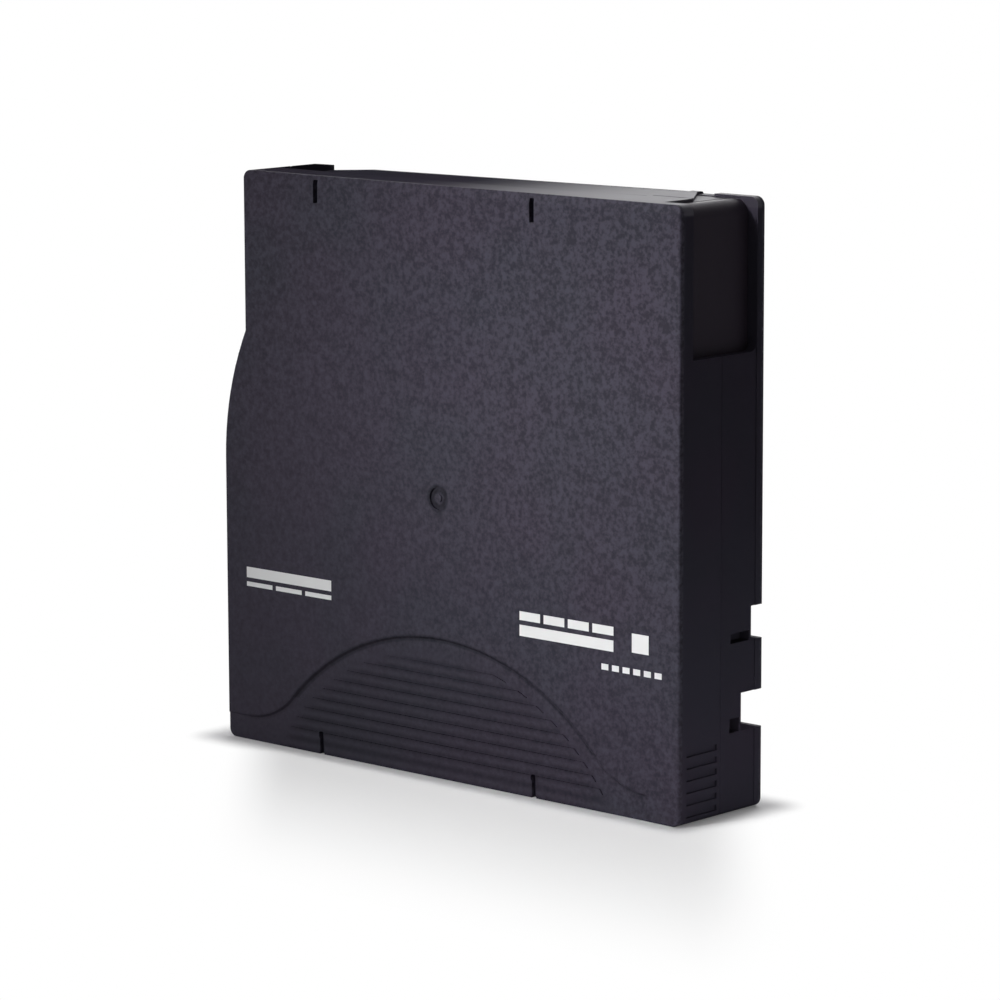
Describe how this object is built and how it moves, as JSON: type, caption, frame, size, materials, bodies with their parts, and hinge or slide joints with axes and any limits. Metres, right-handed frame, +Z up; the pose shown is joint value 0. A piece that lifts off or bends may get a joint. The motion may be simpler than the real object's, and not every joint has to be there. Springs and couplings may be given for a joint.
{
  "type": "data tape cartridge",
  "caption": "Flat square data tape cartridge with one reel inside, a spring-loaded side door, a ribbed grip field and a write-protect slide.",
  "frame": {"origin": "middle of the bounding box's base: the cartridge stands on its rear edge, midway across its width and its thickness", "axes": "+X to the door side, -Y out of the upper shell's main face, +Z up towards the front edge, which enters a drive first"},
  "size_m": [0.1054, 0.0216, 0.102],
  "materials": {
    "case_plastic": "spark-eroded texture, dark slate grey",
    "door_plastic": "fine satin, near black",
    "screw_steel": "zinc-plated",
    "spring_steel": "bright drawn wire",
    "tab_plastic": "satin, dull red",
    "board_laminate": "green solder mask",
    "chip_plastic": "moulded black",
    "reel_plastic": "satin, light grey",
    "plate_steel": "stamped steel",
    "tape_film": "smooth dark brown film",
    "pin_steel": "polished steel",
    "clip_plastic": "satin black",
    "brake_plastic": "satin, off white",
    "release_plastic": "satin, grey blue"
  },
  "bodies": {
    "case": {"upper_shell": "case_plastic", "lower_shell": "case_plastic", "case_screws": "screw_steel", "door_spring": "spring_steel", "memory_board": "board_laminate", "memory_chip": "chip_plastic", "tape_leader": "tape_film", "leader_pin": "pin_steel", "leader_pin_clip": "clip_plastic", "pin_spring_upper": "spring_steel", "pin_spring_lower": "spring_steel", "brake_spring": "spring_steel"},
    "door": {"door": "door_plastic"},
    "write_protect_slider": {"write_protect_tab": "tab_plastic"},
    "reel": {"reel_hub": "reel_plastic", "reel_upper_flange": "reel_plastic", "reel_plate": "plate_steel", "tape_pack": "tape_film"},
    "brake": {"brake_button": "brake_plastic"},
    "release": {"brake_release_spider": "release_plastic"}
  },
  "joints": [
    {"name": "door_slide", "type": "slide", "parent": "case", "child": "door", "axis": [0, 0, -1], "range_m": [0, 0.02], "stiffness_N_per_m": 15, "springref_m": -0.02, "deforming": ["door_spring"]},
    {"name": "write_protect_slide", "type": "slide", "parent": "case", "child": "write_protect_slider", "axis": [1, 0, 0], "range_m": [0, 0.006]},
    {"name": "reel_spin", "type": "hinge", "parent": "case", "child": "reel", "pos_m": [-0.0005, 0, 0.0506], "axis": [0, 1, 0], "continuous": true},
    {"name": "brake_slide", "type": "slide", "parent": "case", "child": "brake", "axis": [0, -1, 0], "range_m": [0, 0.0016], "stiffness_N_per_m": 300, "springref_m": -0.01, "deforming": ["brake_spring"]},
    {"name": "release_slide", "type": "slide", "parent": "reel", "child": "release", "axis": [0, -1, 0], "range_m": [0, 0.0016]}
  ],
  "couplings": [
    {"joint": "release_slide", "follows": "brake_slide", "ratio": 1}
  ]
}
